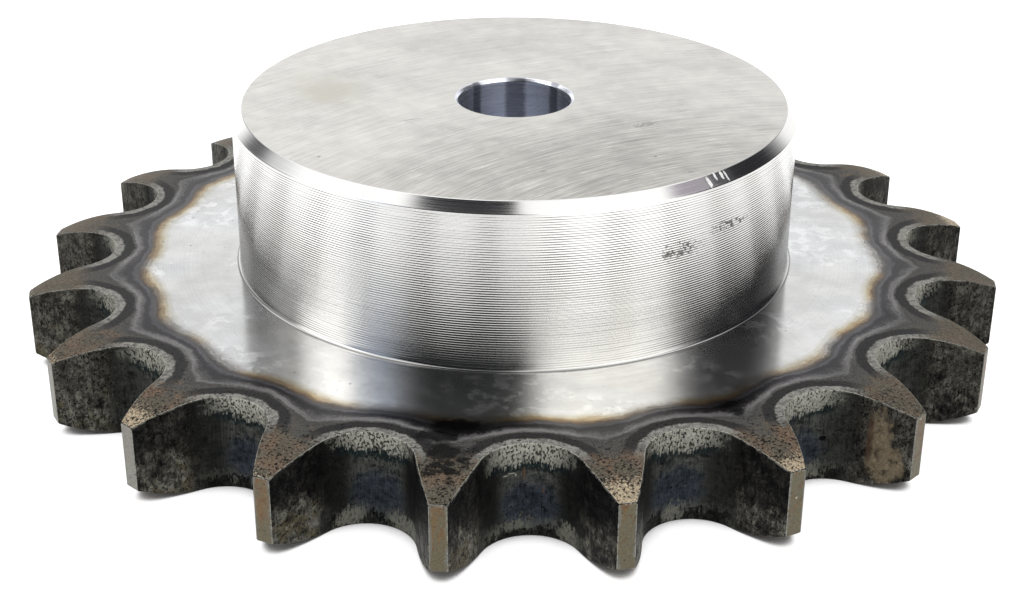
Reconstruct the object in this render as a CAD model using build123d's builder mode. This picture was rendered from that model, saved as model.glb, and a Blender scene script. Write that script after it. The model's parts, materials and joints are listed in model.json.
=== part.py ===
"""Chain sprocket: one piece of turned steel, a toothed plate with a plain hub on one side.

The bore runs along Z. The plate stands on the XY plane with its back face down, the hub rises
from its front face, and one tooth points along +X. All sizes are in millimetres and degrees.
"""

import math
import os

from build123d import *

# The roller chain that the teeth take
chain_pitch = 25.4
roller_diameter = 15.88

# The teeth, seen along the bore
tooth_count = 20
seat_clearance = 0.11  # between a roller and the wall of its seat
seat_angle = 131.0  # how much of a roller its seat arc goes round
flank_radius = 60.0  # convex flank, from the end of the seat to the tip
tip_height = 6.3  # tooth tips above the pitch circle

# The teeth, seen from the side
tooth_width = 16.2
relief_radius = 26.0  # the teeth thin towards their tips in one large arc on each side
relief_depth = 2.5  # how far that arc has fallen at the tip circle

# Hub and bore
overall_length = 45.0
hub_diameter = 100.0
hub_rim_chamfer_radial = 1.8
hub_rim_chamfer_axial = 1.6
hub_root_fillet = 0.6
bore_diameter = 20.0
bore_chamfer = 0.5

# How far the tooth cutter reaches past the tip circle
cutter_overrun = 1.0

# Circles of the teeth, worked out from the chain
pitch_radius = chain_pitch / (2 * math.sin(math.pi / tooth_count))
seat_radius = roller_diameter / 2 + seat_clearance
tip_radius = pitch_radius + tip_height
cutter_radius = tip_radius + cutter_overrun

# The relief arc is tangent to the plate's face where it starts
relief_turn = math.degrees(math.acos(1 - relief_depth / relief_radius))
relief_start_radius = tip_radius - relief_radius * math.sin(math.radians(relief_turn))


def flank_sweep(outer_radius: float) -> float:
    """Angle that the flank arc turns between the end of the seat and a circle about the bore.

    The centre of the flank arc lies on the line from the roller's centre through the seat's end.
    The angle at that centre, towards a circle of a given radius, follows from the cosine rule.
    """
    half_seat = math.radians(seat_angle / 2)
    centre = Vector(pitch_radius, 0) - Vector(math.cos(half_seat), math.sin(half_seat)) * (
        seat_radius + flank_radius
    )
    seat_end = Vector(pitch_radius, 0) - Vector(math.cos(half_seat), math.sin(half_seat)) * seat_radius

    def angle_to(radius: float) -> float:
        """Angle at the flank's centre between the bore and the point at this radius."""
        along = centre.length**2 + flank_radius**2 - radius**2
        return math.degrees(math.acos(along / (2 * centre.length * flank_radius)))

    return angle_to(outer_radius) - angle_to(seat_end.length)


# One tooth gap: the roller's seat, a flank on each side, and the open mouth past the tips
with BuildSketch() as tooth_gap:
    with BuildLine():
        seat = CenterArc((pitch_radius, 0), seat_radius, 180, seat_angle / 2)
        flank = JernArc(seat @ 1, seat % 1, flank_radius, -flank_sweep(cutter_radius))
        mouth_angle = math.degrees(math.atan2((flank @ 1).Y, (flank @ 1).X))
        CenterArc((0, 0), cutter_radius, mouth_angle, -mouth_angle)
        mirror(about=Plane.XZ)
    make_face()


with BuildPart() as sprocket:
    # Turned plate, thinned towards its rim on both sides
    with BuildSketch(Plane.XZ):
        with BuildLine():
            back = Line((0, 0), (relief_start_radius, 0))
            back_relief = JernArc(back @ 1, (1, 0), relief_radius, relief_turn)
            rim = Line(back_relief @ 1, (tip_radius, tooth_width - relief_depth))
            front = Line((0, tooth_width), (relief_start_radius, tooth_width))
            JernArc(front @ 1, (1, 0), relief_radius, -relief_turn)
            Line(front @ 0, back @ 0)
        make_face()
    revolve(axis=Axis.Z)

    # Hub, with a broken rim and a small radius where it meets the plate
    with BuildSketch(Plane.XY.offset(tooth_width)):
        Circle(hub_diameter / 2)
    extrude(amount=overall_length - tooth_width)
    hub_end = sprocket.faces().sort_by(Axis.Z)[-1]
    chamfer(hub_end.edges(), hub_rim_chamfer_radial, hub_rim_chamfer_axial, reference=hub_end)
    edges_on_front = sprocket.edges().filter_by_position(Axis.Z, tooth_width, tooth_width)
    fillet(edges_on_front.sort_by(SortBy.RADIUS)[0], hub_root_fillet)

    # Plain bore, right through, chamfered at both ends
    with Locations((0, 0, overall_length)):
        Hole(bore_diameter / 2)
    bore_wall = sprocket.faces().filter_by(GeomType.CYLINDER).sort_by(SortBy.RADIUS)[0]
    chamfer(bore_wall.edges().filter_by(GeomType.CIRCLE), bore_chamfer)

    # Teeth: the gaps are cut through the plate, half a tooth away from +X
    with BuildSketch():
        with PolarLocations(0, tooth_count, start_angle=180 / tooth_count):
            add(tooth_gap.sketch)
    extrude(amount=tooth_width, mode=Mode.SUBTRACT)

sprocket.part.label = "sprocket"

os.makedirs("parts", exist_ok=True)
export_step(sprocket.part, "parts/sprocket.step")
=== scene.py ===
"""Looks of a one-piece chain sprocket: its machined surfaces, hardened teeth, studio and camera.

Lengths are millimetres and become metres where a mesh or a camera is made. Only the studio's own
are metres from the start.
"""

import inspect
import json
import logging
import math
from collections.abc import Callable, Iterable
from dataclasses import dataclass, field
from enum import Enum
from functools import reduce

import bpy
import numpy as np
from mathutils import Matrix, Vector

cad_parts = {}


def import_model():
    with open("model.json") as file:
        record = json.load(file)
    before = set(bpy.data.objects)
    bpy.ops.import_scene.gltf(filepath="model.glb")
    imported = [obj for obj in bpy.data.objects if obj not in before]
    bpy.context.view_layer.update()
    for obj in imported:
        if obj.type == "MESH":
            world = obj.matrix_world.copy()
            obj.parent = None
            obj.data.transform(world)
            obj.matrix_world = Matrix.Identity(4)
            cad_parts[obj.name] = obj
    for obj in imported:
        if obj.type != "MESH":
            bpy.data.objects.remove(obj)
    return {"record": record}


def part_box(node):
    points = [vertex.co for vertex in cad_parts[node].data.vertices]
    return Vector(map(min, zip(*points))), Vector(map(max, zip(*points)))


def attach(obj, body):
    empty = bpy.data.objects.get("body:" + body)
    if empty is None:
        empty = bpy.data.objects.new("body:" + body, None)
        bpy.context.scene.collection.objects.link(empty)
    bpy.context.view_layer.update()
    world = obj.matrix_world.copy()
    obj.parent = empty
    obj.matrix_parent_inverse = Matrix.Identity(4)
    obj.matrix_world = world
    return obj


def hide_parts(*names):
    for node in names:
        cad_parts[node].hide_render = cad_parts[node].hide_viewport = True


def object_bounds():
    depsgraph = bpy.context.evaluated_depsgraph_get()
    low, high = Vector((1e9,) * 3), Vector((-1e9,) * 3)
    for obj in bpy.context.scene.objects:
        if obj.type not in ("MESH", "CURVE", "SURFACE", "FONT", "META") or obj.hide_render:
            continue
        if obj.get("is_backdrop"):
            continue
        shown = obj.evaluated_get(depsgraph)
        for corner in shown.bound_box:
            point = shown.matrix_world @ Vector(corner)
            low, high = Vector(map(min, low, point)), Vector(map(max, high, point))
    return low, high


log = logging.getLogger("sprocket")

MM = 0.001

Rgb = tuple[float, float, float]


def shade(red: float, green: float, blue: float) -> Rgb:
    """Colour from the values that a screen shows.

    Args:
        red: Red from 0 to 255.
        green: Green.
        blue: Blue.

    Returns:
        The colour in linear light.
    """
    parts = np.array([red, green, blue]) / 255
    linear = np.where(parts <= 0.04045, parts / 12.92, ((parts + 0.055) / 1.055) ** 2.4)
    return tuple(float(part) for part in linear)


class Zone(Enum):
    """Parts of the surface that have a finish of their own, in the order of the material slots."""

    PLATE = 0
    WALL = 1
    TIP = 2
    HUB_SIDE = 3
    RIM = 4
    HUB_END = 5
    BORE = 6


# --------------------------------------------------------------------------------------------
# Node networks
# --------------------------------------------------------------------------------------------


def arithmetic(operation: str, swapped: bool = False) -> Callable[["Wire", "Feed"], "Wire"]:
    """Makes the method of a wire that stands for a sign of arithmetic.

    Args:
        operation: Operation of the math node that the method adds.
        swapped: Whether the wire is the second of the two values.

    Returns:
        The method.
    """

    def method(wire: "Wire", other: "Feed") -> "Wire":
        """Adds the node; vectors get a vector math node."""
        add = wire.net.vector if wire.socket.type == "VECTOR" else wire.net.math
        return add(operation, *((other, wire) if swapped else (wire, other)))

    return method


class Wire:
    """Output of a shader node; arithmetic with it adds nodes to its network."""

    def __init__(self, net: "Net", socket: bpy.types.NodeSocket) -> None:
        """Keeps the network and the socket."""
        self.net = net
        self.socket = socket

    __add__ = __radd__ = arithmetic("ADD")
    __mul__ = __rmul__ = arithmetic("MULTIPLY")
    __sub__ = arithmetic("SUBTRACT")
    __rsub__ = arithmetic("SUBTRACT", swapped=True)
    __truediv__ = arithmetic("DIVIDE")
    __rtruediv__ = arithmetic("DIVIDE", swapped=True)
    max = arithmetic("MAXIMUM")
    min = arithmetic("MINIMUM")

    def __abs__(self) -> "Wire":
        """Size without the sign."""
        return self.net.math("ABSOLUTE", self)

    def ramp(self, low: "Feed", high: "Feed", start: float = 0.0, end: float = 1.0,
             kind: str = "LINEAR") -> "Wire":
        """Goes from start to end while this wire goes from low to high, and stays there."""
        feeds = {"Value": self, "From Min": low, "From Max": high, "To Min": start, "To Max": end}
        return self.net.wire("MapRange", feeds, interpolation_type=kind)

    def smooth(self, low: "Feed", high: "Feed", start: float = 0.0, end: float = 1.0) -> "Wire":
        """Ramp that starts and ends softly."""
        return self.ramp(low, high, start, end, "SMOOTHSTEP")

    def other(self, output: str) -> "Wire":
        """Another output of the same node."""
        return Wire(self.net, self.socket.node.outputs[output])


Feed = Wire | float | tuple[float, ...]


class Net:
    """Network of shader nodes. Wires, numbers, vectors and colours can feed a node."""

    def __init__(self, tree: bpy.types.NodeTree) -> None:
        """Wraps a node tree."""
        self.tree = tree

    def node(self, kind: str, **settings: object) -> bpy.types.Node:
        """Adds a node.

        Args:
            kind: The node's type.
            settings: Its properties.

        Returns:
            The node.
        """
        made = self.tree.nodes.new(kind)
        for key, value in settings.items():
            setattr(made, key, value)
        return made

    def feed(self, value: Feed, socket: bpy.types.NodeSocket) -> None:
        """Feeds a socket: a wire is linked to it, anything else becomes its own value.

        Args:
            value: Wire, number, vector or colour.
            socket: The socket.
        """
        if isinstance(value, Wire):
            self.tree.links.new(value.socket, socket)
        elif socket.type == "RGBA":
            socket.default_value = (*value, 1.0)
        else:
            socket.default_value = value

    def wire(self, kind: str, feeds: dict[str | int, Feed], output: str | int = 0,
             **settings: object) -> Wire:
        """Adds a node, feeds it and gives one of its outputs.

        Args:
            kind: The node's type after ShaderNode.
            feeds: What goes into its inputs, by name or number.
            output: Name or number of the output.
            settings: Its properties.

        Returns:
            The output.
        """
        made = self.node(f"ShaderNode{kind}", **settings)
        for name, value in feeds.items():
            self.feed(value, made.inputs[name])
        return Wire(self, made.outputs[output])

    def math(self, operation: str, *values: Feed) -> Wire:
        """Adds a math node."""
        return self.wire("Math", dict(enumerate(values)), operation=operation)

    def vector(self, operation: str, *values: Feed) -> Wire:
        """Adds a vector math node that gives a vector."""
        return self.wire("VectorMath", dict(enumerate(values)), operation=operation)

    def length(self, vector: Wire) -> Wire:
        """Length of a vector."""
        return self.wire("VectorMath", {0: vector}, "Value", operation="LENGTH")

    def mix(self, factor: Feed, first: Feed, second: Feed, blend: str = "MIX") -> Wire:
        """Mixes two colours."""
        return self.wire("Mix", {0: factor, 6: first, 7: second}, 2, data_type="RGBA", blend_type=blend)

    def toned(self, colour: Feed, tone: Wire) -> Wire:
        """Colour made lighter or darker by a factor."""
        return self.mix(1.0, colour, self.join(tone, tone, tone), "MULTIPLY")

    def split(self, vector: Wire) -> tuple[Wire, ...]:
        """Splits a vector into x, y and z."""
        x = self.wire("SeparateXYZ", {0: vector})
        return x, x.other("Y"), x.other("Z")

    def join(self, x: Feed, y: Feed, z: Feed) -> Wire:
        """Joins x, y and z into a vector."""
        return self.wire("CombineXYZ", {0: x, 1: y, 2: z})

    def turned(self, vector: Wire, degrees: Feed) -> Wire:
        """Turns a vector about the bore's axis."""
        feeds = {"Vector": vector, "Angle": self.math("RADIANS", degrees)}
        return self.wire("VectorRotate", feeds, rotation_type="Z_AXIS")

    def noise(self, vector: Wire, scale: Feed, detail: Feed = 2.0, roughness: float = 0.5) -> Wire:
        """Noise between 0 and 1, about 0.5."""
        feeds = {"Vector": vector, "Scale": scale, "Detail": detail, "Roughness": roughness}
        return self.wire("TexNoise", feeds)

    def steps(self, value: Wire, stops: tuple[tuple[float, Rgb], ...], low: float, high: float) -> Wire:
        """Colour that changes with a value.

        Args:
            value: The value.
            stops: Value and colour at each stop, lowest first.
            low: Value at the ramp's start.
            high: Value at the ramp's end.

        Returns:
            The colour.
        """
        colour = self.wire("ValToRGB", {0: value.ramp(low, high)})
        elements = colour.socket.node.color_ramp.elements
        elements.remove(elements[1])
        elements[0].position = (stops[0][0] - low) / (high - low)
        elements[0].color = (*stops[0][1], 1.0)
        for place, shown in stops[1:]:
            elements.new((place - low) / (high - low)).color = (*shown, 1.0)
        return colour

    def bump(self, height: Wire, depth: float, before: Wire | None = None) -> Wire:
        """Normal bent by a height.

        Args:
            height: Height from 0 to 1.
            depth: What a height of 1 stands for, in millimetres.
            before: Normal that is bent, if it isn't the surface's own.

        Returns:
            The bent normal.
        """
        feeds = {"Strength": 1.0, "Distance": depth * MM, "Height": height}
        return self.wire("Bump", feeds if before is None else feeds | {"Normal": before})


# --------------------------------------------------------------------------------------------
# Effects that the finishes share
# --------------------------------------------------------------------------------------------


class Effects:
    """Node groups for wear, scale and tool marks, each built when it is first used.

    Every static method describes one. Its arguments after the network, with their defaults, are
    the group's inputs, and what it returns are the group's outputs.
    """

    def __init__(self) -> None:
        """Starts without a group."""
        self.trees: dict[str, bpy.types.NodeTree] = {}

    def tree(self, name: str) -> bpy.types.NodeTree:
        """Gives a group and builds it if need be.

        Args:
            name: Name of the method that describes it.

        Returns:
            The group.
        """
        if name not in self.trees:
            self.trees[name] = bpy.data.node_groups.new(name, "ShaderNodeTree")
            self.build(self.trees[name], getattr(self, name))
        return self.trees[name]

    @staticmethod
    def build(tree: bpy.types.NodeTree, describe: Callable[..., dict[str, Wire]]) -> None:
        """Fills a group.

        Args:
            tree: The empty group.
            describe: The method that describes it.
        """
        net = Net(tree)
        given = {name: argument.default for name, argument in inspect.signature(describe).parameters.items()}
        given.pop("net")
        for name, value in given.items():
            kind = "NodeSocketVector" if isinstance(value, tuple) else "NodeSocketFloat"
            tree.interface.new_socket(name, in_out="INPUT", socket_type=kind).default_value = value
        inlet = net.node("NodeGroupInput")
        results = describe(net, **{name: Wire(net, inlet.outputs[name]) for name in given})
        for name in results:
            tree.interface.new_socket(name, in_out="OUTPUT", socket_type="NodeSocketFloat")
        outlet = net.node("NodeGroupOutput")
        for name, result in results.items():
            net.feed(result, outlet.inputs[name])

    @staticmethod
    def mottle(net: Net, place: Feed = (0, 0, 0), stretch: Feed = (1, 1, 1), patch: Feed = 1.0,
               detail: Feed = 3.0, level: Feed = 0.5, softness: Feed = 0.05) -> dict[str, Wire]:
        """Ragged patches: noise of a given patch size, cut off at a level with a soft edge."""
        value = net.noise(place / stretch, 1.0 / patch, detail, 0.6)
        return {"mask": value.smooth(level - softness, level + softness)}

    @staticmethod
    def pits(net: Net, place: Feed = (0, 0, 0), spacing: Feed = 1.0, share: Feed = 0.5,
             size: Feed = 0.35) -> dict[str, Wire]:
        """Small round pits: one in a share of the cells of a random lattice, of random size.

        Args:
            net: The group's network.
            place: Place on the part.
            spacing: Size of a cell.
            share: Share of the cells that have a pit.
            size: Radius of the pits, as a part of the spacing.

        Returns:
            The mask.
        """
        distance = net.wire("TexVoronoi", {"Vector": place, "Scale": 1.0 / spacing}, "Distance")
        chance, swell, _ = net.split(distance.other("Color"))
        radius = size * (swell * 0.8 + 0.3)
        chosen = net.math("LESS_THAN", chance, share)
        return {"mask": distance.smooth(radius * 0.55, radius, 1.0, 0.0) * chosen}

    @staticmethod
    def scratches(net: Net, place: Feed = (0, 0, 0), turn: Feed = 0.0, length: Feed = 20.0,
                  width: Feed = 0.2, level: Feed = 0.6, softness: Feed = 0.08) -> dict[str, Wire]:
        """Straight scratches: noise drawn out in one direction, of which only the crests stay."""
        value = net.noise(net.turned(place, turn * -1.0) / net.join(length, width, width), 1.0)
        return {"mask": value.smooth(level - softness, level + softness)}

    @staticmethod
    def wipes(net: Net, place: Feed = (0, 0, 0), centre: Feed = (0, 0, 0), length: Feed = 0.3,
              width: Feed = 0.2, level: Feed = 0.6, softness: Feed = 0.08) -> dict[str, Wire]:
        """Curved scratches: noise drawn out along circles about a centre, and its crests.

        Args:
            net: The group's network.
            place: Place on the part.
            centre: Centre of the circles.
            length: Length of a scratch in radians.
            width: Its width.
            level: Level above which the noise is a scratch.
            softness: How softly it starts there.

        Returns:
            The mask of the crests, and the noise.
        """
        x, y, _ = net.split(place - centre)
        reach = net.length(net.join(x, y, 0.0))
        value = net.noise(net.join(net.math("ARCTAN2", y, x) / length, reach / width, 0.0), 1.0)
        return {"mask": value.smooth(level - softness, level + softness), "value": value}

    @staticmethod
    def tool_lines(net: Net, place: Feed = (0, 0, 0), pitch: Feed = 0.2,
                   waver: Feed = 0.01) -> dict[str, Wire]:
        """Fine rings left by turning: noise of the radius, height and, slowly, the direction.

        Args:
            net: The group's network.
            place: Place on the part.
            pitch: Width of a ring.
            waver: How fast the rings change sideways.

        Returns:
            The noise.
        """
        x, y, z = net.split(place)
        radius = net.length(net.join(x, y, 0.0))
        return {"value": net.noise(net.join(radius / pitch, z / pitch, abs(x * waver)), 1.0, 2.0, 0.6)}

    @staticmethod
    def cracks(net: Net, place: Feed = (0, 0, 0), spacing: Feed = 1.0, width: Feed = 0.1,
               shake: Feed = 0.4) -> dict[str, Wire]:
        """Scaly crust: lines between the cells of a random lattice, whose place is shaken first.

        Args:
            net: The group's network.
            place: Place on the part.
            spacing: Size of a cell.
            width: Width of the lines, as a part of the spacing.
            shake: How far the lines are shaken.

        Returns:
            The mask of the lines.
        """
        shaken = net.noise(place, 2.0 / spacing, 2.0, 0.6) * shake
        feeds = {"Vector": place + net.join(shaken, shaken, shaken), "Scale": 1.0 / spacing}
        distance = net.wire("TexVoronoi", feeds, "Distance", feature="DISTANCE_TO_EDGE")
        return {"mask": distance.smooth(width * 0.4, width, 1.0, 0.0)}

    @staticmethod
    def by_tooth(net: Net, place: Feed = (0, 0, 0), teeth: Feed = 20.0, seed: Feed = 0.0) -> dict[str, Wire]:
        """Chance value that is the same all over one tooth, and how far round a place lies on it.

        Args:
            net: The group's network.
            place: Place on the part.
            teeth: How many teeth there are.
            seed: Another seed gives other values.

        Returns:
            White noise of the tooth's number, and the angle from the tooth's middle in pitches,
            from -0.5 to 0.5.
        """
        x, y, _ = net.split(place)
        pitches = net.math("ARCTAN2", y, x) / (2 * math.pi) * teeth
        nearest = net.math("ROUND", pitches)
        number = net.math("FLOORED_MODULO", nearest, teeth)
        chance = net.wire("TexWhiteNoise", {"W": number + seed}, noise_dimensions="1D")
        return {"value": chance, "share": pitches - nearest}

    @staticmethod
    def spot(net: Net, place: Feed = (0, 0, 0), centre: Feed = (0, 0, 0), half: Feed = (1, 1, 1),
             turn: Feed = 0.0, ragged: Feed = 0.3, shake: Feed = 0.0,
             softness: Feed = 0.3) -> dict[str, Wire]:
        """One mark at a place: an ellipsoid turned about the axis, with a ragged, soft edge."""
        reach = net.length(net.turned(place - centre, turn * -1.0) / half)
        return {"mask": (reach + shake * (ragged * 4.0)).smooth(1.0 - softness, 1.0, 1.0, 0.0)}

    @staticmethod
    def card(net: Net, place: Feed = (0, 0, 1), azimuth: Feed = 0.0, half_width: Feed = 10.0,
             elevation: Feed = 0.0, half_height: Feed = 10.0, softness: Feed = 3.0) -> dict[str, Wire]:
        """How far a direction lies within a card of the studio, whose place is in degrees.

        The direction is turned so that the card's middle is at azimuth zero, and two smooth steps,
        one for each half size, are multiplied.

        Args:
            net: The group's network.
            place: The direction.
            azimuth: Azimuth of the card's middle.
            half_width: Half of its width.
            elevation: Elevation of its middle.
            half_height: Half of its height.
            softness: How softly its edges fade.

        Returns:
            The mask.
        """
        x, y, z = net.split(place)
        turn = net.math("RADIANS", azimuth)
        cosine, sine = net.math("COSINE", turn), net.math("SINE", turn)
        across = net.math("DEGREES", net.math("ARCTAN2", y * cosine - x * sine, x * cosine + y * sine))
        up = net.math("DEGREES", net.math("ARCSINE", z)) - elevation
        sideways, upwards = (
            abs(offset).smooth(half - softness, half + softness, 1.0, 0.0)
            for offset, half in ((across, half_width), (up, half_height))
        )
        return {"mask": sideways * upwards}


# --------------------------------------------------------------------------------------------
# Finishes
# --------------------------------------------------------------------------------------------


@dataclass(frozen=True)
class Mark:
    """One scuff, stain or ding: what lies within an ellipsoid about its centre.

    The half sizes are millimetres, and the turn about the bore's axis is degrees. Ragged says how
    far noise shakes the edge, and soft over what share of its size the mark fades.
    """

    centre: tuple[float, float, float]
    half: tuple[float, float, float]
    turn: float
    ragged: float
    soft: float


def round_marks(*rows: tuple[float, ...]) -> tuple[Mark, ...]:
    """Marks placed by their direction from the axis.

    Args:
        rows: For each mark its azimuth in degrees, its radius and its height, its half sizes
            round the axis, away from it and along it, how ragged its edge is, and how soft.

    Returns:
        The marks, turned to their places.
    """
    marks = []
    for azimuth, radius, height, tangent, radial, tall, ragged, soft in rows:
        turn = math.radians(azimuth)
        centre = (radius * math.cos(turn), radius * math.sin(turn), height)
        marks.append(Mark(centre, (radial, tangent, tall), azimuth, ragged, soft))
    return tuple(marks)


class Paint(Net):
    """Network of one material, with its shader, the shared effects and the place on the part."""

    def __init__(self, effects: Effects, name: str, **constants: Feed) -> None:
        """Makes the material.

        Args:
            effects: Shared node groups.
            name: Name of the material.
            constants: Values for the shader's own sockets, with underscores for spaces.
        """
        self.material = bpy.data.materials.new(name)
        self.material.use_nodes = True
        super().__init__(self.material.node_tree)
        self.effects = effects
        self.shader = self.tree.nodes["Principled BSDF"]
        self.shaded(**constants)
        metres = self.wire("TexCoord", {}, "Object")
        self.place = self.wire("VectorMath", {0: metres, "Scale": 1 / MM}, operation="SCALE")
        self.x, self.y, self.z = self.split(self.place)

    def shaded(self, **feeds: Feed) -> bpy.types.Material:
        """Feeds the shader's own sockets.

        Args:
            feeds: What each socket is fed with, by its name with underscores for spaces.

        Returns:
            The material.
        """
        for label, value in feeds.items():
            self.feed(value, self.shader.inputs[label.replace("_", " ")])
        return self.material

    def effect(self, name: str, output: str = "mask", **values: Feed) -> Wire:
        """Places a shared effect on the part and gives one of its outputs.

        Args:
            name: Name of the effect.
            output: Name of the output.
            values: What its other inputs are fed with.

        Returns:
            The output.
        """
        return self.wire("Group", {"place": self.place} | values, output, node_tree=self.effects.tree(name))

    def grain(self, size: float, detail: float = 2.0, roughness: float = 0.5,
              stretch: tuple[float, float, float] | None = None) -> Wire:
        """Noise with a grain in millimetres, which may be stretched along the axes."""
        place = self.place if stretch is None else self.place / stretch
        return self.noise(place, 1 / size, detail, roughness)

    def attribute(self, name: str) -> Wire:
        """Number kept at the points of the mesh under a name."""
        return self.wire("Attribute", {}, "Fac", attribute_name=name)

    def marks(self, marks: tuple[Mark, ...], grain: float = 0.8) -> Wire:
        """Mask of several marks together.

        Args:
            marks: The marks.
            grain: Grain of the noise that makes their edges ragged.

        Returns:
            The mask.
        """
        shake = self.grain(grain, 3.0, 0.6) - 0.5
        masks = (
            self.effect("spot", centre=mark.centre, half=mark.half, turn=mark.turn, ragged=mark.ragged,
                        shake=shake, softness=mark.soft)
            for mark in marks
        )
        return reduce(Wire.max, masks)


@dataclass(frozen=True)
class Finish:
    """Look of one zone of the surface."""

    name: str

    def dress(self, effects: Effects) -> bpy.types.Material:
        """Makes the material with the shared effects."""
        raise NotImplementedError


@dataclass(frozen=True)
class PlateFinish(Finish):
    """Turned face, heat-tinted towards the gaps, with brown and pitted tops of the teeth."""

    name: str = "turned_and_hardened"
    steel: Rgb = (0.74, 0.735, 0.72)
    rim_grey: Rgb = shade(138, 137, 131)
    root_grey: Rgb = shade(74, 73, 70)
    under_rim: Rgb = shade(34, 33, 34)
    copper: Rgb = shade(108, 89, 73)
    tip_brown: Rgb = shade(90, 84, 73)
    tip_straw: Rgb = shade(184, 168, 142)
    soot: Rgb = shade(9, 9, 10)
    bright_edge: Rgb = shade(158, 154, 144)
    tint_depths: tuple[float, float] = (2.0, 12.0)
    tints: tuple[tuple[float, Rgb], ...] = (
        (3.2, root_grey), (3.7, shade(88, 87, 86)), (4.1, shade(120, 119, 118)),
        (4.5, shade(110, 108, 108)), (4.9, shade(78, 76, 77)), (5.3, shade(48, 46, 48)),
        (5.8, shade(46, 44, 47)), (6.2, shade(88, 86, 90)), (6.6, shade(82, 79, 79)),
        (7.0, shade(96, 81, 68)), (7.5, shade(140, 119, 90)), (8.1, shade(176, 158, 126)),
        (8.8, shade(204, 198, 182)), (9.8, steel),
    )
    covers: tuple[tuple[float, float], ...] = ((3.4, 1.0), (4.4, 0.75), (5.1, 0.2), (5.9, 0.1), (8.6, 0.0))
    soot_marks: tuple[Mark, ...] = round_marks(
        (-90.6, 76.4, 16, 3.6, 3.4, 4, 0.3, 0.5),
        (-92.4, 71.8, 16, 4.6, 2.2, 4, 0.35, 0.5),
        (-90.0, 68.0, 16, 6.0, 2.8, 4, 0.35, 0.6),
        (-90.4, 79.5, 16, 4.6, 4.2, 4, 1.3, 1.0),
        (-54.0, 69.3, 16, 3.2, 1.5, 4, 0.35, 0.7),
        (-54.0, 72.2, 16, 1.8, 1.6, 4, 0.35, 0.7),
    )
    dings: tuple[Mark, ...] = round_marks(
        (-83.9, 60.5, 16.2, 0.3, 0.42, 1, 0.15, 0.3),
        (-108.3, 60.3, 16.2, 0.2, 0.2, 1, 0.15, 0.3),
        (-46.5, 52.8, 16.2, 0.5, 0.22, 1, 0.15, 0.3),
    )

    def bands(self, paint: Paint, heat: Wire) -> tuple[Wire, Wire]:
        """Colours of the heat lines, and how much of the steel they cover.

        The straw-coloured line pales to grey along stretches of the rim, the lines darken where
        they cross a tooth, and fine streaks follow them, because they are noise of the depth and,
        slowly, of the place.

        Args:
            paint: The material's network.
            heat: Depth of the heat line.

        Returns:
            Colour and cover.
        """
        colour = paint.steps(heat, self.tints, *self.tint_depths)
        grey = paint.wire("RGBToBW", {0: colour})
        pale = paint.grain(15.0, 1.0).smooth(0.42, 0.58, 0.0, 0.85) * heat.smooth(6.4, 6.9)
        colour = paint.mix(pale, colour, paint.join(grey, grey, grey))
        slow_x, slow_y, _ = paint.split(paint.place * (0.11, 0.11, 0.11))
        streaks = paint.noise(paint.join(heat * 3.2, slow_x, slow_y), 1.0, 4.0, 0.75)
        streaks = streaks.ramp(0.32, 0.68, -0.5, 0.5) * heat.smooth(9.5, 7.5)
        crossing = abs(paint.effect("by_tooth", "share")).smooth(0.26, 0.06, 0.0, 0.3)
        crossing = crossing * heat.smooth(8.2, 6.6)
        colour = paint.toned(colour, (streaks + 1.0) * (1.0 - crossing))
        covers = tuple((depth, (cover,) * 3) for depth, cover in self.covers)
        return colour, paint.steps(heat, covers, *self.tint_depths)

    def tooth_top(self, paint: Paint, radius: Wire, grit: Wire) -> Wire:
        """Colour of a tooth's top: gritty grey-brown with copper patches, and straw at the tip.

        Args:
            paint: The material's network.
            radius: Distance from the bore's axis.
            grit: Fine noise.

        Returns:
            The colour.
        """
        tooth = paint.effect("by_tooth", "value", seed=4124.0)
        shaken = radius + paint.grain(2.6, 3.0, 0.6).ramp(0.3, 0.7, -3.0, 3.0)
        colour = paint.mix(shaken.smooth(75.5, 81.0), self.root_grey, self.tip_brown)
        patch = paint.grain(4.0, 3.0, 0.6).smooth(0.44, 0.6) * shaken.smooth(75, 79)
        patch = patch * paint.y.smooth(-25.0, -60.0, 0.4, 1.0)
        colour = paint.mix(patch * tooth.ramp(0.0, 1.0, 0.5, 0.9), colour, self.copper)
        reach = tooth.ramp(0.2, 1.0, 88.0, 83.0)
        straw = (radius + grit.ramp(0.3, 0.7, -2.0, 2.0)).smooth(reach, reach + 2.0)
        return paint.mix(straw * 0.8, colour, self.tip_straw)

    @staticmethod
    def clean_tone(paint: Paint, rings: Wire, stain: Wire) -> Wire:
        """Brightness of the clean steel: faint rings, clouds, flaky stains, scratches and specks.

        Args:
            paint: The material's network.
            rings: Noise of the turning rings.
            stain: Mask of the stains.

        Returns:
            Factor for the colour.
        """
        tone = rings.ramp(0.3, 0.7, 0.97, 1.02) + paint.grain(5.0, 4.0, 0.6).ramp(0.35, 0.65, -0.09, 0.04)
        tone = tone + paint.grain(20.0).ramp(0.38, 0.6, -0.09, 0.02) + stain * 0.17
        for turn, length, amount in ((20.0, 5.0, 0.12), (118.0, 7.0, -0.14)):
            scratched = paint.effect(
                "scratches", turn=turn, length=length, width=0.14, level=0.68, softness=0.05)
            tone = tone + scratched * amount
        return tone * (paint.effect("pits", spacing=1.6, share=0.25, size=0.14) * -0.7 + 1.0)

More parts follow.
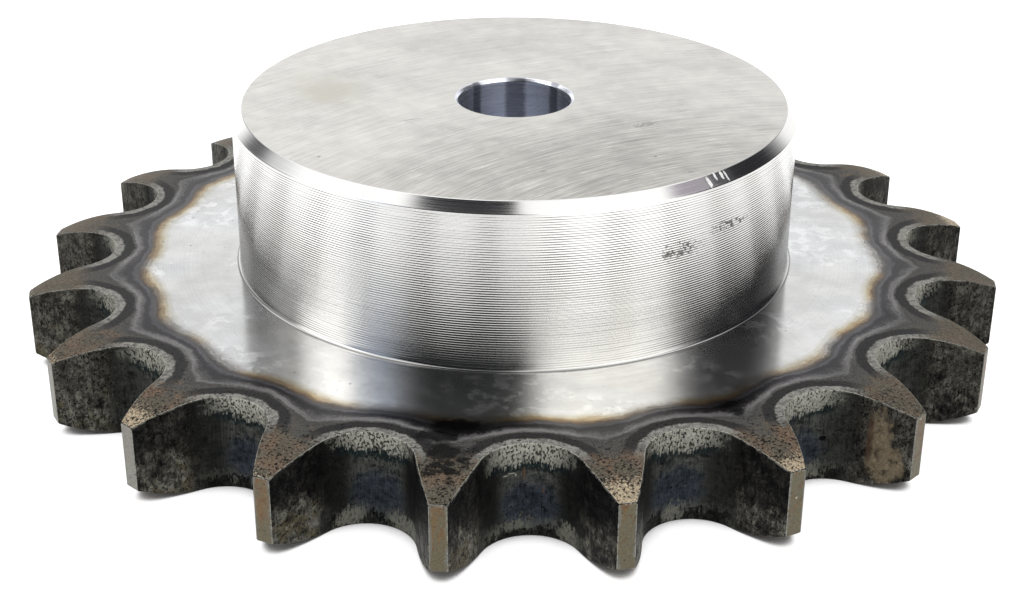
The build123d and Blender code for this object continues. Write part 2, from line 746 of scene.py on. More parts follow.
    def dress(self, effects: Effects) -> bpy.types.Material:
        """Makes the material.

        Args:
            effects: Shared node groups.

        Returns:
            The material.
        """
        paint = Paint(effects, self.name, Specular_IOR_Level=0.07)
        broad = paint.grain(3.2, 3.0, 0.55)
        grain = paint.grain(0.45, 3.0, 0.6)
        grit = paint.grain(0.36, 3.0, 0.8)
        shift = (broad - 0.5) * 1.5 + (grain - 0.5) * 0.9
        heat = paint.attribute("heat_depth") + shift
        edge = paint.attribute("wall_distance")
        wall = edge + shift * 0.9
        radius = paint.length(paint.join(paint.x, paint.y, 0.0))
        colour, cover = self.bands(paint, heat)
        tooth = heat.smooth(3.6, 2.6)
        colour = paint.mix(tooth, colour, self.tooth_top(paint, radius, grit))

        # Dark line under the rim, and the grey, flaky rim that follows the wall
        under = wall.smooth(1.3, 1.8) * wall.smooth(3.7, 3.2) * radius.smooth(79.5, 75.0)
        under = under * heat.smooth(3.9, 3.4)
        colour = paint.mix(under * 0.85, colour, self.under_rim)
        flakes = paint.effect("mottle", patch=1.1, detail=5.0, level=0.47, softness=0.06)
        rim = wall.smooth(1.75, 1.35) * radius.smooth(80.0, 75.0, 0.05, 1.0) * (flakes * 0.55 + 0.45)
        colour = paint.mix(rim, colour, self.rim_grey)

        # Soot, grit, black flecks, dings and the bright worn edge of the flanks
        colour = paint.mix(paint.marks(self.soot_marks, 1.5) * 0.94, colour, self.soot)
        colour = paint.toned(colour, grit.ramp(0.32, 0.68, -0.5, 0.5) * heat.smooth(5.6, 3.0) + 1.0)
        level = radius.smooth(72.0, 84.0, 0.64, 0.58) + broad.ramp(0.3, 0.7, 0.05, -0.05)
        flecks = paint.effect("mottle", patch=0.42, detail=2.0, level=level, softness=0.035)
        flecks = flecks * (tooth * paint.y.smooth(-25.0, -62.0, 0.3, 1.0))
        colour = paint.mix(flecks * 0.92, colour, self.soot)
        dings = paint.marks(self.dings)
        colour = paint.mix(dings, colour, self.soot)
        worn = edge.smooth(0.28, 0.06) * grain.smooth(0.42, 0.6) * radius.smooth(74.5, 78.0, 0.1, 0.85)
        colour = paint.mix(worn, colour, self.bright_edge)

        # Clean steel
        rings = paint.effect("tool_lines", "value", pitch=0.22, waver=0.02)
        stain = paint.effect("mottle", patch=3.2, detail=7.0, level=0.53, softness=0.04)
        stain = stain * (heat.smooth(7.5, 9.5) * paint.grain(16.0, 1.0).smooth(0.46, 0.6))
        colour = paint.toned(colour, self.clean_tone(paint, rings, stain) * (1.0 - cover) + cover)
        relief = (grit * 0.7 - flecks.max(dings)) * cover.max(dings)
        return paint.shaded(
            Base_Color=colour,
            Roughness=cover * 0.34 + 0.16 + stain * 0.06,
            Metallic=(1.0 - cover * 0.9).max(worn * 0.7),
            Normal=paint.bump(rings, 0.002, paint.bump(relief, 0.12)),
        )


@dataclass(frozen=True)
class WallFinish(Finish):
    """Walls of the gaps: dark scale with a blue middle, a pale strip under the edge, rough flanks."""

    name: str = "gap_walls"
    scale_grey: Rgb = shade(70, 71, 67)
    blue: Rgb = shade(50, 55, 62)
    teal: Rgb = shade(44, 57, 57)
    tide: Rgb = shade(20, 29, 31)
    black: Rgb = shade(7, 7, 8)
    strip: Rgb = shade(168, 168, 157)
    low_strip: Rgb = shade(122, 122, 112)
    olive: Rgb = shade(104, 95, 70)
    worn_edge: Rgb = shade(150, 148, 140)
    tan: Rgb = shade(148, 134, 110)
    rust: Rgb = shade(92, 72, 58)
    flank_tones: tuple[tuple[float, Rgb], ...] = (
        (0.0, shade(3, 3, 4)), (0.25, shade(22, 22, 22)), (0.5, shade(52, 51, 48)),
        (0.75, shade(86, 84, 77)), (1.0, shade(124, 122, 112)), (1.2, shade(152, 149, 138)),
    )
    tan_marks: tuple[Mark, ...] = round_marks(
        (-38.0, 83.6, 4.6, 6.0, 3.4, 4.2, 0.2, 0.35),
        (-38.3, 82.7, 9.5, 6.0, 2.0, 6.0, 0.35, 0.5),
    )
    rust_marks: tuple[Mark, ...] = round_marks(
        (-38.8, 81.1, 8.8, 4.0, 0.7, 6.2, 0.2, 0.6),
        (-81.6, 73.2, 11.2, 0.3, 3.0, 1.3, 0.2, 0.5),
        (-79.3, 73.4, 8.2, 0.2, 3.0, 0.6, 0.2, 0.5),
    )
    dots: tuple[Mark, ...] = round_marks(
        (-41.5, 74.7, 7.6, 0.5, 3.0, 0.55, 0.25, 0.3),
        (-63.6, 73.4, 6.2, 0.3, 3.0, 0.25, 0.2, 0.3),
    )
    pale_marks: tuple[Mark, ...] = round_marks(
        (-83.8, 73.8, 11.1, 0.5, 3.0, 0.13, 0.12, 0.6),
        (-83.1, 73.7, 11.35, 0.7, 3.0, 0.12, 0.12, 0.6),
        (-82.6, 73.6, 11.0, 0.15, 3.0, 0.3, 0.12, 0.6),
    )

    def middle(self, paint: Paint, aside: Wire, below: Wire, swing: Wire, tone: Wire, front: Wire) -> Wire:
        """Colour of the middle of a gap: grey scale, blue at its heart and teal under the strip.

        Args:
            paint: The material's network.
            aside: Distance from the middle of the gap.
            below: Distance under the upper edge.
            swing: Ragged noise about zero.
            tone: Brightness of the fine lines and grit.
            front: One at the part's front, zero at its sides; it sets how much painted shade darkens the
                shoulders there.

        Returns:
            The colour, with dark shoulders on both sides that lean outwards to the top, made blacker at the
            part's front as painted shade.
        """
        reach = paint.length(paint.join(aside / 5.4, (paint.z - 5.6) / 4.6, 0.0))
        colour = paint.mix((reach + swing * 1.4).smooth(1.2, 0.6), self.scale_grey, self.blue)
        teal = (below + swing * 2.0).smooth(4.8, 3.6) * aside.smooth(7.0, 4.0)
        colour = paint.mix(teal * 0.8, colour, self.teal)
        colour = paint.toned(colour, tone)
        shoulder = aside + swing * 6.0
        outer = shoulder + paint.z.ramp(3.0, 14.0, 2.0, -1.5)
        shoulder = shoulder.smooth(3.2, 6.2) * outer.smooth(13.0, 9.5)
        # Painted shade: the shoulders are blacker at the part's front than at its sides
        return paint.mix(shoulder * (front * 0.47 + 0.45), colour, self.black)

    def flank(self, paint: Paint, along: Wire, front: Wire, grit: Wire) -> tuple[Wire, Wire]:
        """Colour of the flanks: grey crust with upright streaks, and painted shade that makes their upper
        part black at the part's front.

        Args:
            paint: The material's network.
            along: Distance from the middle of the gap, with its sign.
            front: One at the part's front, zero at its sides; it sets the painted shade of the upper flanks.
            grit: Fine noise.

        Returns:
            The colour, and the crust's value for the relief.
        """
        crust = paint.grain(1.6, 5.0, 0.62, (1.0, 1.0, 1.2))
        streaks = paint.grain(1.0, 4.0, 0.7, (0.5, 0.5, 3.0))
        broad = paint.grain(4.0, 3.0, 0.6)
        foot = (paint.z + broad.ramp(0.3, 0.7, -3.5, 3.5)).smooth(10.5, 5.0)
        # Painted shade: the upper flank is darker at the part's front than at its sides
        above = front * -0.52 + 0.7 + along.smooth(-9.0, -11.0, 0.0, 0.12)
        value = (along.smooth(-9.0, -11.0, 0.7, 0.94) - above) * foot + above
        swing = crust.ramp(0.32, 0.68, -0.34, 0.34)
        for noise, reach in ((streaks, 0.2), (broad, 0.26), (grit, 0.13)):
            swing = swing + noise.ramp(0.3, 0.7, -reach, reach)
        value = swing * (foot * 0.5 + 0.6) + value
        colour = paint.steps(value, self.flank_tones, 0.0, 1.2)
        low = paint.z.smooth(11.0, 5.0) * along.smooth(-9.0, -11.5)
        yellow = broad.smooth(0.48, 0.6) * (low * value.smooth(0.4, 0.8))
        return paint.mix(yellow * 0.7, colour, self.olive), crust

    def dress(self, effects: Effects) -> bpy.types.Material:
        """Makes the material.

        Args:
            effects: Shared node groups.

        Returns:
            The material.
        """
        paint = Paint(effects, self.name, Specular_IOR_Level=0.025)
        along = paint.attribute("along_wall")
        aside = abs(along)
        below = paint.attribute("below_edge")
        # Mask of the part's front, where the walls get painted shade
        front = paint.y.smooth(-47.0, -81.0)
        ragged = paint.grain(1.3, 5.0, 0.68)
        swing = ragged - 0.5

        # Upright lines, level streaks and grit
        lines = paint.grain(1.0, 3.0, 0.7, (0.2, 0.2, 4.0))
        levels = paint.grain(1.0, 4.0, 0.75, (2.2, 2.2, 0.6))
        grit = paint.grain(0.42, 4.0, 0.75, (1.0, 1.0, 1.6))
        tone = lines.ramp(0.3, 0.7, 0.64, 1.4) + levels.ramp(0.3, 0.7, -0.35, 0.35)
        tone = tone + ragged.ramp(0.3, 0.7, -0.75, 0.75)
        colour = self.middle(paint, aside, below, swing, tone, front)
        rough, crust = self.flank(paint, along, front, grit)
        cracks = paint.effect("cracks", spacing=1.1, width=0.14, shake=2.0)
        rough = paint.mix(cracks * ragged.smooth(0.44, 0.6, 0.0, 0.7), rough, self.black)
        flank = (aside + swing * 6.0).smooth(8.5, 11.5)
        colour = paint.mix(flank, colour, rough)

        # Pale strip under the upper edge: jagged below, eaten away by black flecks
        jagged = paint.grain(1.0, 4.0, 0.7, (0.34, 0.34, 2.6))
        slow = paint.grain(9.0, 1.0)
        edge = below + swing * 3.0 + jagged.ramp(0.3, 0.7, -0.9, 0.9) + slow.ramp(0.3, 0.7, -0.6, 0.6)
        edge = edge + aside.smooth(2.5, 6.0, -0.45, 0.5)
        tide = edge.smooth(2.9, 3.3) * edge.smooth(4.6, 3.8) * aside.smooth(8.0, 5.0, 0.0, 0.75)
        colour = paint.mix(tide, colour, self.tide)
        strip = edge.smooth(3.4, 2.7) * (aside + swing * 8.0).smooth(8.5, 6.0)
        fade = below.smooth(3.4, 0.4, 0.8, 1.0) + grit.ramp(0.32, 0.68, -0.34, 0.34)
        fade = fade * aside.smooth(2.5, 7.0, 1.0, 0.42)
        colour = paint.mix(strip, colour, paint.toned(self.strip, fade))
        level = strip.smooth(0.2, 0.8, 0.65, 0.6) + slow.ramp(0.35, 0.65, 0.02, -0.03) + flank * -0.04
        flecks = paint.effect(
            "mottle", stretch=(1, 1, 1.6), patch=0.32, detail=1.5, level=level, softness=0.045)
        colour = paint.mix(flecks * 0.85, colour, self.black)

        # Crusty foot: a pale, broken seam over a black one
        foot = paint.z + swing * 5.0 + jagged.ramp(0.3, 0.7, -1.0, 1.0)
        middle = aside.smooth(11.0, 7.0)
        base = (foot + slow.ramp(0.38, 0.62, -0.4, 2.4)).smooth(2.0, 1.2) * middle
        foot = foot.smooth(3.6, 2.6) * (middle * grit.smooth(0.38, 0.5))
        colour = paint.mix(foot * slow.smooth(0.4, 0.54, 0.2, 0.95), colour, self.low_strip)
        colour = paint.mix(base * cracks.max(0.7), colour, self.black)

        # Single marks and the worn edge
        tan = paint.marks(self.tan_marks, 1.8) * crust.smooth(0.36, 0.5, 0.25, 0.95)
        colour = paint.mix(tan * 0.9, colour, self.tan)
        colour = paint.mix(paint.marks(self.rust_marks) * 0.8, colour, self.rust)
        colour = paint.mix(paint.marks(self.dots, 0.6), colour, self.black)
        colour = paint.mix(paint.marks(self.pale_marks, 1.6), colour, self.strip)
        worn = below.smooth(0.26, 0.08) * ragged.smooth(0.44, 0.6) * aside.smooth(8.0, 13.0, 0.3, 0.8)
        colour = paint.mix(worn, colour, self.worn_edge)

        lumps = (grit * 0.4 + crust - cracks * 0.35) * flank
        relief = lumps - (flecks * strip).max(base) * 0.4
        return paint.shaded(
            Base_Color=colour,
            Roughness=ragged.ramp(0.3, 0.7, 0.3, 0.52),
            Metallic=worn * 0.7,
            Normal=paint.bump(lines, 0.012, paint.bump(relief, 1.1)),
        )


@dataclass(frozen=True)
class TipFinish(Finish):
    """Narrow lands on the tips: a brown column between grey borders, with pale, nicked edges."""

    name: str = "tip_lands"
    pitch_run: float = 27.483
    half_width: float = 1.4745
    brown: Rgb = shade(108, 88, 62)
    olive: Rgb = shade(96, 91, 72)
    rust: Rgb = shade(98, 70, 48)
    border: Rgb = shade(108, 108, 101)
    plain: Rgb = shade(134, 134, 128)
    pale: Rgb = shade(178, 175, 164)
    dark: Rgb = shade(46, 42, 36)

    def dress(self, effects: Effects) -> bpy.types.Material:
        """Makes the material.

        The distance from the middle of a land is its share of a pitch times the pitch at the tips.

        Args:
            effects: Shared node groups.

        Returns:
            The material.
        """
        paint = Paint(effects, self.name, Specular_IOR_Level=0.35)
        tooth = paint.effect("by_tooth", "value", seed=3903.0)
        aside = abs(tooth.other("share")) * self.pitch_run
        patch = paint.grain(1.2, 4.0, 0.65, (0.7, 0.7, 2.4))
        column = (aside + patch.ramp(0.3, 0.7, -0.45, 0.45)).smooth(1.35, 0.95)
        golden = patch + tooth.ramp(0.2, 0.65, -0.1, 0.07)
        inner = paint.mix(golden.smooth(0.42, 0.62), self.olive, self.brown)
        inner = paint.mix(paint.grain(1.6, 3.0, 0.6).smooth(0.5, 0.6, 0.0, 0.6), inner, self.rust)
        foot = paint.z + patch.ramp(0.3, 0.7, -1.5, 1.5)
        inner = paint.mix(foot.smooth(7.5, 5.5, 0.0, 0.85), inner, self.olive)
        colour = paint.mix(column, self.border, inner)
        colour = paint.mix(tooth.smooth(0.72, 0.76, 0.0, 0.75), colour, self.plain)
        grit = paint.grain(0.35, 3.0, 0.7)
        colour = paint.toned(colour, grit.ramp(0.3, 0.7, 0.75, 1.25))
        specks = paint.effect("pits", spacing=0.7, share=0.5, size=0.3)
        colour = paint.mix(specks * 0.6, colour, self.dark)
        rim = paint.attribute("below_edge").min(self.half_width - aside)
        worn = rim.smooth(0.25, 0.05) * grit.smooth(0.42, 0.58) * 0.8
        nicks = paint.effect("pits", spacing=1.6, share=0.25, size=0.16)
        return paint.shaded(
            Base_Color=paint.mix(worn.max(nicks), colour, self.pale),
            Roughness=patch.ramp(0.3, 0.7, 0.34, 0.5),
            Metallic=patch.ramp(0.35, 0.65, 0.2, 0.5),
            Normal=paint.bump(grit - specks, 0.05),
        )


@dataclass(frozen=True)
class TurnedSteel(Finish):
    """Bright turned steel for the hub's side, rim and bore, with fine rings and a few scuffs."""

    steel: Rgb = (0.72, 0.715, 0.70)
    roughness: float = 0.14
    depth: float = 0.003
    feed: float = 0.0
    feed_start: float = 16.8
    scuff: Rgb = shade(60, 58, 56)
    film: Rgb = (0.16, 0.17, 0.2)
    bright: Rgb = (0.95, 0.95, 0.95)
    scuffs: tuple[Mark, ...] = ()
    nicks: tuple[Mark, ...] = ()
    films: tuple[Mark, ...] = ()

    def groove_tone(self, paint: Paint) -> Wire:
        """Painted shade in the bottoms of the turning grooves, and a painted gradient over the whole side,
        darker towards its foot and lighter towards the rim.

        The height, counted in feeds, gives the place within a groove; the bottom is at one half.

        Args:
            paint: The material's network.

        Returns:
            Factor for the colour.
        """
        count = (paint.z - self.feed_start) / self.feed + (paint.grain(6.0) - 0.5) * 0.25
        line = abs(paint.math("FRACT", count) - 0.5).smooth(0.3, 0.06)
        which = paint.join(paint.x * 0.06, paint.y * 0.06, paint.math("FLOOR", count))
        strength = paint.noise(which, 1.3).ramp(0.3, 0.7, 0.05, 0.5)
        # Painted shade: dark lines in the groove bottoms, times a gradient from dark at the foot to light
        # near the rim
        return (1.0 - line * strength) * paint.z.ramp(self.feed_start, 38.0, 0.73, 1.1)

    def dress(self, effects: Effects) -> bpy.types.Material:
        """Makes the material.

        Args:
            effects: Shared node groups.

        Returns:
            The material.
        """
        paint = Paint(effects, self.name, Metallic=1.0)
        rings = paint.effect("tool_lines", "value", pitch=0.15, waver=0.05)
        tone = rings.ramp(0.3, 0.7, 0.92, 1.05)
        roughness = rings.ramp(0.3, 0.7, self.roughness - 0.04, self.roughness + 0.05)
        # Painted shade of the grooves and the foot, on the turned side only
        if self.feed:
            tone = tone * self.groove_tone(paint)
        else:
            paint.shaded(Normal=paint.bump(rings, self.depth))
        colour = paint.toned(self.steel, tone)
        if self.scuffs:
            broken = paint.effect("mottle", stretch=(1.7, 1.7, 1), patch=0.45, level=0.5, softness=0.04)
            scuffed = paint.marks(self.scuffs) * broken
            colour = paint.mix(scuffed * 0.8, colour, self.scuff)
            roughness = roughness + scuffed * 0.25
        # Painted shade: darker upright patches on the bore's wall
        if self.films:
            colour = paint.mix(paint.marks(self.films, 3.0) * 0.75, colour, self.film)
        if self.nicks:
            nicked = paint.marks(self.nicks)
            colour = paint.mix(nicked, colour, self.bright)
            roughness = roughness + nicked * 0.5
        return paint.shaded(Base_Color=colour, Roughness=roughness)


@dataclass(frozen=True)
class HubEnd(Finish):
    """End face of the hub: pale ground steel, wiped with long fine scratches and a few scuffs."""

    name: str = "hub_end"
    steel: Rgb = (0.68, 0.663, 0.622)
    stain: Rgb = (0.55, 0.53, 0.45)
    worn_grey: Rgb = (0.49, 0.468, 0.432)
    scuff: Rgb = (0.30, 0.29, 0.28)
    wipe_turn: float = 62.0
    wipe_centre: tuple[float, float, float] = (69.0, -90.0, 0.0)
    worn_area: Mark = Mark((18, -33, 45), (36, 56, 20), -58, 0.12, 0.9)
    stained: Mark = Mark((-33, -2, 45), (9, 14, 5), 20, 0.3, 0.9)
    scuffed: Mark = Mark((23.8, -11.2, 45), (3.2, 1.1, 2), 35, 0.6, 0.5)
    dings: tuple[Mark, ...] = (
        Mark((-16.3, -14.2, 45), (2.6, 0.16, 1), 31, 0.2, 0.5),
        Mark((9, -35, 45), (0.7, 0.25, 1), 30, 0.15, 0.3),
        Mark((26.5, -26, 45), (0.5, 0.3, 1), 60, 0.15, 0.3),
        Mark((32.5, -32, 45), (0.5, 0.3, 1), 10, 0.15, 0.3),
        Mark((-28, -33.5, 45), (0.5, 0.25, 1), 60, 0.15, 0.3),
    )

    def dress(self, effects: Effects) -> bpy.types.Material:
        """Makes the material.

        Args:
            effects: Shared node groups.

        Returns:
            The material.
        """
        paint = Paint(effects, self.name, Metallic=1.0)
        broad = paint.grain(13.0, 3.0, 0.6)
        cloud = paint.grain(4.0, 5.0, 0.65)
        # Broad area towards the front right: greyer, with stronger wipes and fine scratches
        worn = paint.marks((self.worn_area,), 16.0)
        wipes = paint.effect(
            "wipes", "value", centre=self.wipe_centre, length=0.16, width=0.42, level=0.6, softness=0.08)
        fine = paint.effect(
            "wipes", centre=self.wipe_centre, length=0.07, width=0.17, level=0.64, softness=0.04)
        cross = paint.effect(
            "scratches", turn=self.wipe_turn - 24, length=5.0, width=0.16, level=0.7, softness=0.04)
        tone = wipes.ramp(0.3, 0.7, -0.23, 0.13) * (worn + 0.5) + broad.ramp(0.35, 0.65, 0.92, 1.06)
        tone = tone + cloud.ramp(0.35, 0.65, -0.07, 0.05)
        tone = tone + fine * cloud.smooth(0.38, 0.58, 0.0, 0.42) * (worn + 0.4)
        tone = tone - cross * broad.smooth(0.4, 0.6, 0.14, 0.42)
        colour = paint.mix(worn * 0.9, paint.toned(self.steel, tone), paint.toned(self.worn_grey, tone))
        colour = paint.mix(paint.marks((self.stained,), 7.0) * 0.85, colour, self.stain)
        streak = paint.effect(
            "scratches", turn=self.wipe_turn, length=3.0, width=0.3, level=0.47, softness=0.06)
        colour = paint.mix(paint.marks((self.scuffed,)) * streak * 0.9, colour, self.scuff)
        dings = paint.marks(self.dings)
        relief = wipes - (fine * 0.5 + dings)
        return paint.shaded(
            Base_Color=paint.mix(dings, colour, self.scuff),
            Roughness=wipes.ramp(0.3, 0.7, 0.36, 0.26) + broad.ramp(0.3, 0.7, -0.03, 0.05),
            Normal=paint.bump(relief, 0.006),
        )


def zone_finishes() -> dict[Zone, Finish]:
    """Gives every zone of the surface its finish.

    Returns:
        The finish of each zone.
    """
    side_scuffs = round_marks(
        (-50.4, 50, 34.2, 4.8, 2, 1.7, 0.4, 0.5),
        (-38.6, 50, 35.9, 6.0, 2, 1.1, 0.4, 0.5),
    )
    rim_nicks = round_marks(
        (-43.6, 49, 44.0, 0.45, 2, 1.1, 0.3, 0.4),
        (-41.6, 49, 44.6, 0.3, 2, 0.6, 0.3, 0.4),
        (-39.9, 49, 44.5, 0.35, 2, 0.7, 0.3, 0.4),
        (-38.9, 49, 44.2, 0.25, 2, 0.9, 0.3, 0.4),
    )
    # Painted shade on the bore's wall: darker upright patches round its far half
    bore_films = round_marks(
        (96, 10, 40, 2.4, 4, 24, 0.12, 0.5),
        (140, 10, 40, 1.2, 4, 24, 0.12, 0.6),
        (52, 10, 40, 1.4, 4, 24, 0.12, 0.6),
    )
    return {
        Zone.PLATE: PlateFinish(),
        Zone.WALL: WallFinish(),
        Zone.TIP: TipFinish(),
        Zone.HUB_SIDE: TurnedSteel(
            "hub_side", (0.67, 0.665, 0.65), roughness=0.13, feed=0.4235, scuffs=side_scuffs),
        Zone.RIM: TurnedSteel("hub_rim", roughness=0.12, depth=0.002, nicks=rim_nicks),
        Zone.HUB_END: HubEnd(),
        # The bore's steel is paler than the rest: painted light, standing in for light that the floor keeps
        # out of the bore
        Zone.BORE: TurnedSteel("bore", (0.86, 0.88, 0.95), roughness=0.26, films=bore_films),
    }


# --------------------------------------------------------------------------------------------
# Shape
# --------------------------------------------------------------------------------------------


def linked(name: str, data: bpy.types.ID) -> bpy.types.Object:
    """Makes an object and links it to the scene.

    Args:
        name: Name of the object.
        data: Its mesh, camera or lamp.

    Returns:
        The object.
    """
    made = bpy.data.objects.new(name, data)
    bpy.context.scene.collection.objects.link(made)
    return made


def around(angles: np.ndarray) -> np.ndarray:
    """Directions at angles from the x axis, one a row."""
    return np.stack([np.cos(angles), np.sin(angles)], 1)


@dataclass(frozen=True)
class ToothForm:
    """Outline of the teeth, seen along the bore, with a tooth on +X."""

    count: int = 20
    chain_pitch: float = 25.4
    roller_diameter: float = 15.88
    seat_clearance: float = 0.11
    seat_angle: float = 131.0
    flank_radius: float = 60.0
    tip_height: float = 6.3
    corner_break: float = 0.22
    corner_sink: float = 0.088
    land_steps: int = 2
    flank_steps: int = 7
    seat_steps: int = 9

    @property
    def half_pitch(self) -> float:
        """Angle in radians from the middle of a tooth to the middle of a gap."""
        return math.pi / self.count

    @property
    def half_seat(self) -> float:
        """Half of the seat angle in radians."""
        return math.radians(self.seat_angle / 2)

    @property
    def pitch_radius(self) -> float:
        """Radius of the circle that the rollers' centres lie on."""
        return self.chain_pitch / (2 * math.sin(self.half_pitch))

    @property
    def seat_radius(self) -> float:
        """Radius of the arc that a roller seats in."""
        return self.roller_diameter / 2 + self.seat_clearance

    @property
    def tip_radius(self) -> float:
        """Radius over the tips of the teeth."""
        return self.pitch_radius + self.tip_height

    @property
    def root_radius(self) -> float:
        """Radius at the bottom of a tooth gap."""
        return self.pitch_radius - self.seat_radius

    @property
    def points_per_pitch(self) -> int:
        """How many points the outline has from one tooth to the next."""
        return 2 * (self.land_steps + self.flank_steps + self.seat_steps + 2)

    @property
    def flank_centre(self) -> np.ndarray:
        """Centre of a flank's arc, in a frame whose x axis runs through the middle of the gap."""
        reach = (self.seat_radius + self.flank_radius) * around(np.array([-self.half_seat]))[0]
        return np.array([self.pitch_radius, 0.0]) - reach

    def half_gap(self) -> tuple[np.ndarray, np.ndarray]:
        """Outline from the middle of a tooth to the middle of a gap.

        The land is an arc about the bore, the flank an arc about its own centre, and the seat an
        arc about the roller's centre. The corner between land and flank is cut a little short on
        both sides, and the point between them is given the direction halfway.

        Returns:
            Points and outward directions, in a frame whose x axis runs through the gap.
        """
        centre = self.flank_centre
        far = float(np.hypot(*centre))
        cosine = (far**2 + self.tip_radius**2 - self.flank_radius**2) / (2 * far * self.tip_radius)
        land_end = math.atan2(centre[1], centre[0]) - math.acos(cosine)
        corner = self.tip_radius * np.array([math.cos(land_end), math.sin(land_end)])

        cut = self.corner_break / self.tip_radius
        land_out = around(np.linspace(self.half_pitch, land_end + cut, self.land_steps + 1))
        flank_start = math.atan2(*(corner - centre)[::-1]) - self.corner_break / self.flank_radius
        flank_out = around(np.linspace(flank_start, -self.half_seat, self.flank_steps + 1))
        seat_out = around(np.linspace(-self.half_seat, 0, self.seat_steps + 1)[1:])
        seat = np.array([self.pitch_radius, 0.0]) - seat_out * self.seat_radius

        middle_out = land_out[-1] + flank_out[0]
        middle_out /= np.hypot(*middle_out)
        middle = corner - middle_out * self.corner_sink
        flank = centre + self.flank_radius * flank_out
        points = np.vstack([self.tip_radius * land_out, middle, flank, seat])
        return points, np.vstack([land_out, middle_out, flank_out, seat_out])

    def outline(self) -> tuple[np.ndarray, np.ndarray]:
        """Whole outline, from the middle of the tooth on +X: one pitch, turned to every gap.

        Returns:
            Points and outward directions.
        """
        turns = self.half_pitch * (1 + 2 * np.arange(self.count))
        spin = np.array([[np.cos(turns), np.sin(turns)], [-np.sin(turns), np.cos(turns)]])
        whole = []
        for rows in self.half_gap():
            pitch = np.vstack([rows * np.array([1.0, -1.0]), rows[-2:0:-1]])
            whole.append(np.einsum("pi,ijt->tpj", pitch, spin).reshape(-1, 2))
        return whole[0], whole[1]

    def gap_frame(self, points: np.ndarray) -> np.ndarray:
        """Folds points into one half gap: x through the middle of the nearest gap, y not negative.

        Args:
            points: Points in the part's frame, one row each.

        Returns:
            The folded points.
        """
        angle = np.arctan2(points[:, 1], points[:, 0]) - self.half_pitch
        pitch = 2 * self.half_pitch
        angle = np.abs(angle - pitch * np.round(angle / pitch))
        return np.hypot(points[:, 0], points[:, 1])[:, None] * around(angle)

    def wall_distance(self, points: np.ndarray) -> np.ndarray:
        """Distance in the plate from the nearest gap wall, which is an arc of a seat or a flank.

        Args:
            points: Points in the part's frame.

        Returns:
            The distance for each point.
        """
        folded = self.gap_frame(points)
        from_roller = folded - np.array([self.pitch_radius, 0.0])
        seat = np.hypot(*from_roller.T) - self.seat_radius
        flank = self.flank_radius - np.hypot(*(folded - self.flank_centre).T)
        beside_seat = np.arctan2(folded[:, 1], -from_roller[:, 0]) < self.half_seat
        return np.where(beside_seat, seat, np.abs(flank))


@dataclass(frozen=True)
class HeatLines:
    """Lines of equal heat in the plate, left by hardening the teeth.

    A line that lies a given depth under the bottom of a gap is lifted towards the tips where it
    crosses a tooth. The lift is large close to the gap and dies out towards the hub. Outer lines
    meet in a cusp on the tooth; inner ones run on in soft scallops.
    """

    depths: tuple[float, ...] = (-20.0, 0.0, 3.1, 4.7, 5.6, 6.3, 8.3, 12.0, 22.0)
    lifts: tuple[float, ...] = (9.0, 7.0, 4.6, 4.0, 2.2, 1.8, 1.5, 0.8, 0.0)
    sharpness: float = 1.7
    cusp_end: tuple[float, float] = (3.8, 6.8)
    searched: tuple[float, float] = (-30.0, 80.0)
    halvings: int = 30

    def depth(self, teeth: ToothForm, points: np.ndarray) -> np.ndarray:
        """Depth of the line through each point, found by halving the range of depths.

        Args:
            teeth: The outline that the lines follow.
            points: Points in the part's frame.

        Returns:
            The depth in millimetres, negative within the teeth.
        """
        folded = teeth.gap_frame(points)
        radius = np.hypot(*folded.T)
        share = np.arctan2(folded[:, 1], folded[:, 0]) / teeth.half_pitch
        cusped, scalloped = share**self.sharpness, (1 - np.cos(np.pi * share)) / 2
        low, high = (np.full(len(points), depth) for depth in self.searched)
        for _ in range(self.halvings):
            middle = (low + high) / 2
            lift = cusped + (scalloped - cusped) * np.interp(middle, self.cusp_end, (0.0, 1.0))
            line = teeth.root_radius - middle + lift * np.interp(middle, self.depths, self.lifts)
            low = np.where(line > radius, middle, low)
            high = np.where(line > radius, high, middle)
        return (low + high) / 2


@dataclass(frozen=True)
class SideRelief:
    """Large arc that thins the teeth towards their tips on each side of the plate."""

    radius: float = 26.0
    depth: float = 2.5

    def fall(self, radius: np.ndarray, tip_radius: float) -> tuple[np.ndarray, np.ndarray]:
        """How far the arc has fallen at a radius, and the sine of its slope there.

        Args:
            radius: Distances from the bore's axis.
            tip_radius: Radius at which the arc has fallen by its full depth.

        Returns:
            The fall and the sine of the slope.
        """
        start = tip_radius - math.sqrt(2 * self.radius * self.depth - self.depth**2)
        run = np.clip(radius - start, 0, None)
        return self.radius - np.sqrt(self.radius**2 - run**2), run / self.radius


@dataclass(frozen=True)
class Hub:
    """Hub sizes, and the turning marks round its side."""

    diameter: float = 100.0
    rim_radial: float = 1.8
    rim_axial: float = 1.6
    root_fillet: float = 0.6
    fillet_rings: int = 5
    feed: float = 0.4235
    groove_depth: float = 0.031
    steps_per_groove: int = 4


@dataclass
class Ring:
    """One closed row of points round the bore, with the finish of the band that follows it."""

    zone: Zone
    points: np.ndarray
    normals: np.ndarray
    along_wall: np.ndarray | float = 0.0
    below_edge: np.ndarray | float = 0.0


